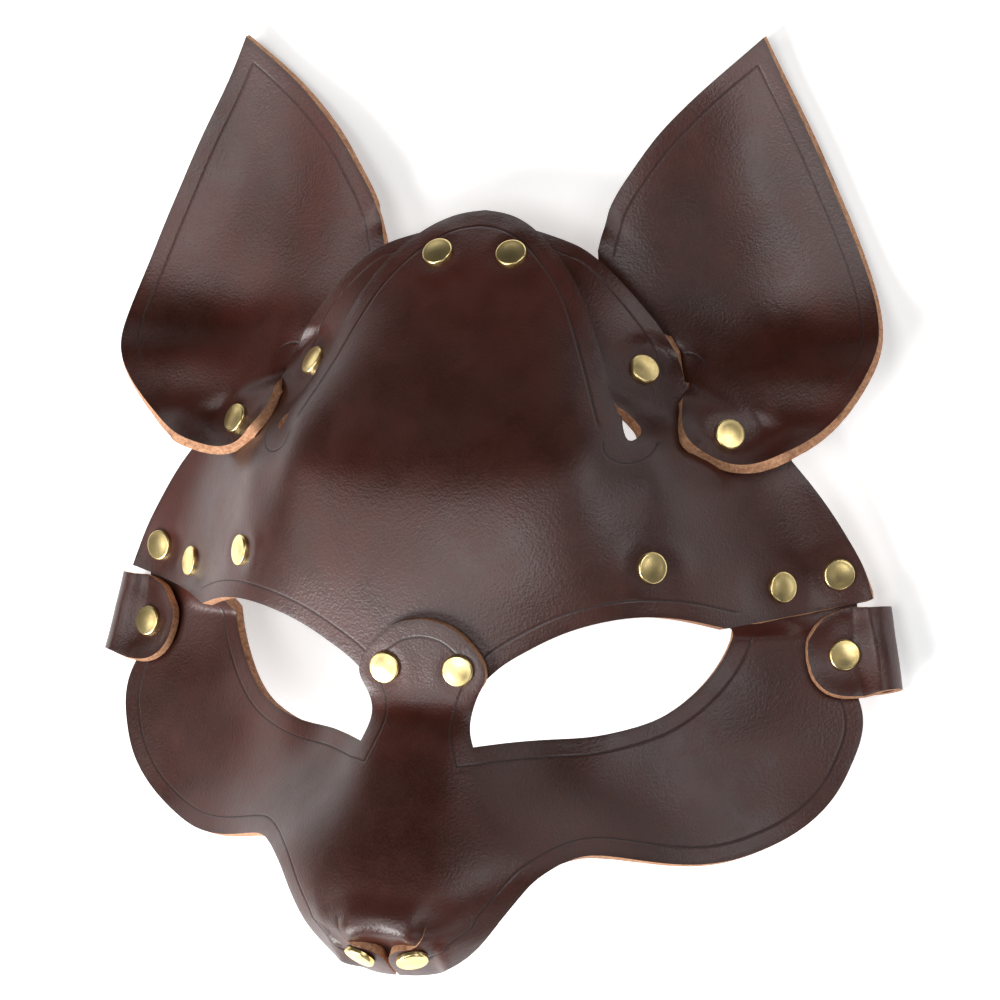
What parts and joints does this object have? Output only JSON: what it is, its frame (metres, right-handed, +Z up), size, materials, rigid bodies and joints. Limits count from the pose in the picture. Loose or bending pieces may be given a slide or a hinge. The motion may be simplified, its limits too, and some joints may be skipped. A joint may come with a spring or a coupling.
{
  "type": "leather fox mask",
  "caption": "Half mask of a fox in dark brown leather: riveted forehead and muzzle panels, upright cupped ears, open eye holes and a strap loop at each temple.",
  "frame": {"origin": "middle of the mask's footprint, on the surface that it lies on, face up", "axes": "+X across the face, +Y from the nose towards the ears, +Z up out of the face"},
  "size_m": [0.219, 0.2306, 0.0982],
  "materials": {
    "leather": "dark brown vegetable tanned leather, lightly waxed, with tan raw edges",
    "brass": "polished brass cap rivets"
  },
  "bodies": {
    "root": {"brow_panel": "leather", "muzzle_panel": "leather", "ear_right": "leather", "ear_left": "leather", "strap_loop_right": "leather", "strap_loop_left": "leather", "rivet_crown_right": "brass", "rivet_crown_left": "brass", "rivet_ear_inner_right": "brass", "rivet_ear_inner_left": "brass", "rivet_ear_outer_right": "brass", "rivet_ear_outer_left": "brass", "rivet_brow_inner_right": "brass", "rivet_brow_inner_left": "brass", "rivet_brow_middle_right": "brass", "rivet_brow_middle_left": "brass", "rivet_brow_outer_right": "brass", "rivet_brow_outer_left": "brass", "rivet_bridge_right": "brass", "rivet_bridge_left": "brass", "rivet_nose_right": "brass", "rivet_nose_left": "brass", "rivet_loop_right": "brass", "rivet_loop_left": "brass"}
  },
  "joints": []
}
